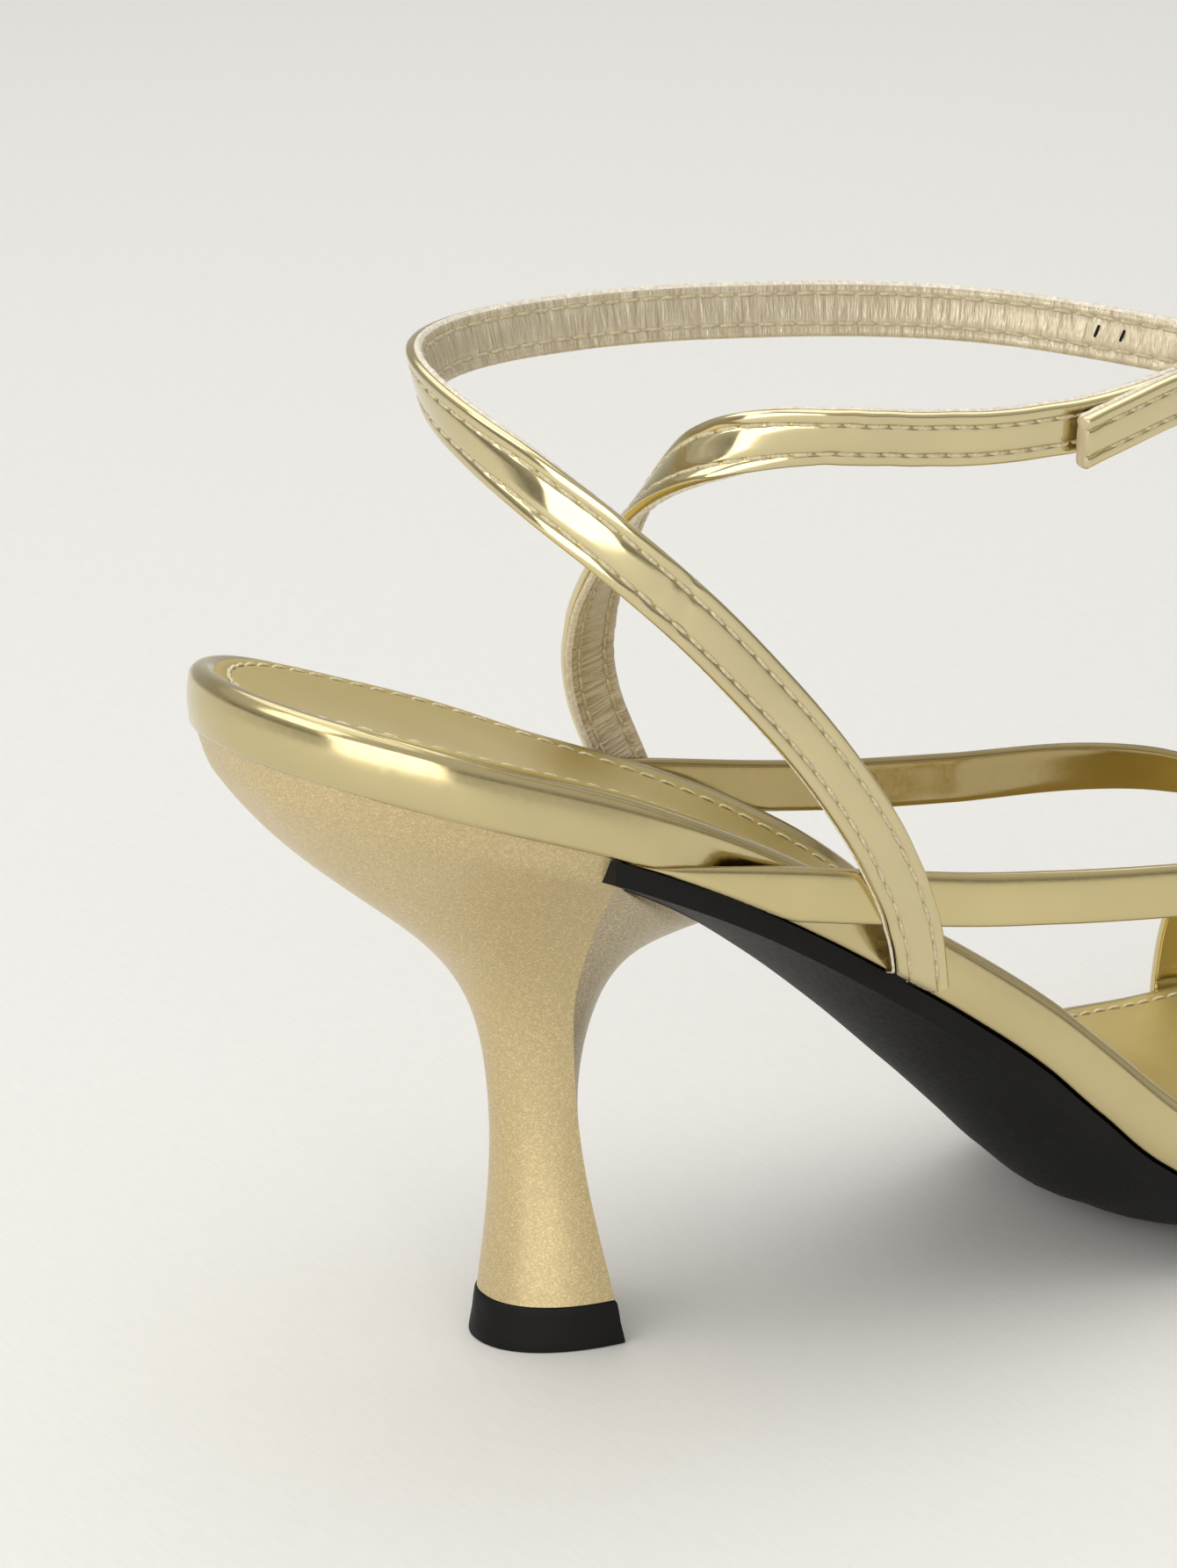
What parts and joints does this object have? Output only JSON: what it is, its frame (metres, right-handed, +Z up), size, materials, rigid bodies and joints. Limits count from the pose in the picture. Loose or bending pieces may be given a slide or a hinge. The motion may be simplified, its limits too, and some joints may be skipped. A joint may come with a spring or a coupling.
{
  "type": "high heel sandal",
  "caption": "Gold strappy high heel sandal for the right foot: slim straps cross behind the ankle and join over the ball, with a sculpted flared heel.",
  "frame": {"origin": "middle of the shoe's box, on the floor", "axes": "+X from heel to toe, +Y to the inner (big toe) side, +Z up from the floor"},
  "size_m": [0.23, 0.0822, 0.12],
  "materials": {
    "outsole": "satin",
    "footbed": "mirror foil",
    "insole_sock": "satin metallic",
    "heel": "metallic glitter paint",
    "heel_top_piece": "matt",
    "upper_straps": "metallic foil"
  },
  "bodies": {
    "root": {"outsole": "outsole", "footbed": "footbed", "insole_sock": "insole_sock", "heel": "heel", "heel_top_piece": "heel_top_piece", "upper_straps": "upper_straps"}
  },
  "joints": []
}
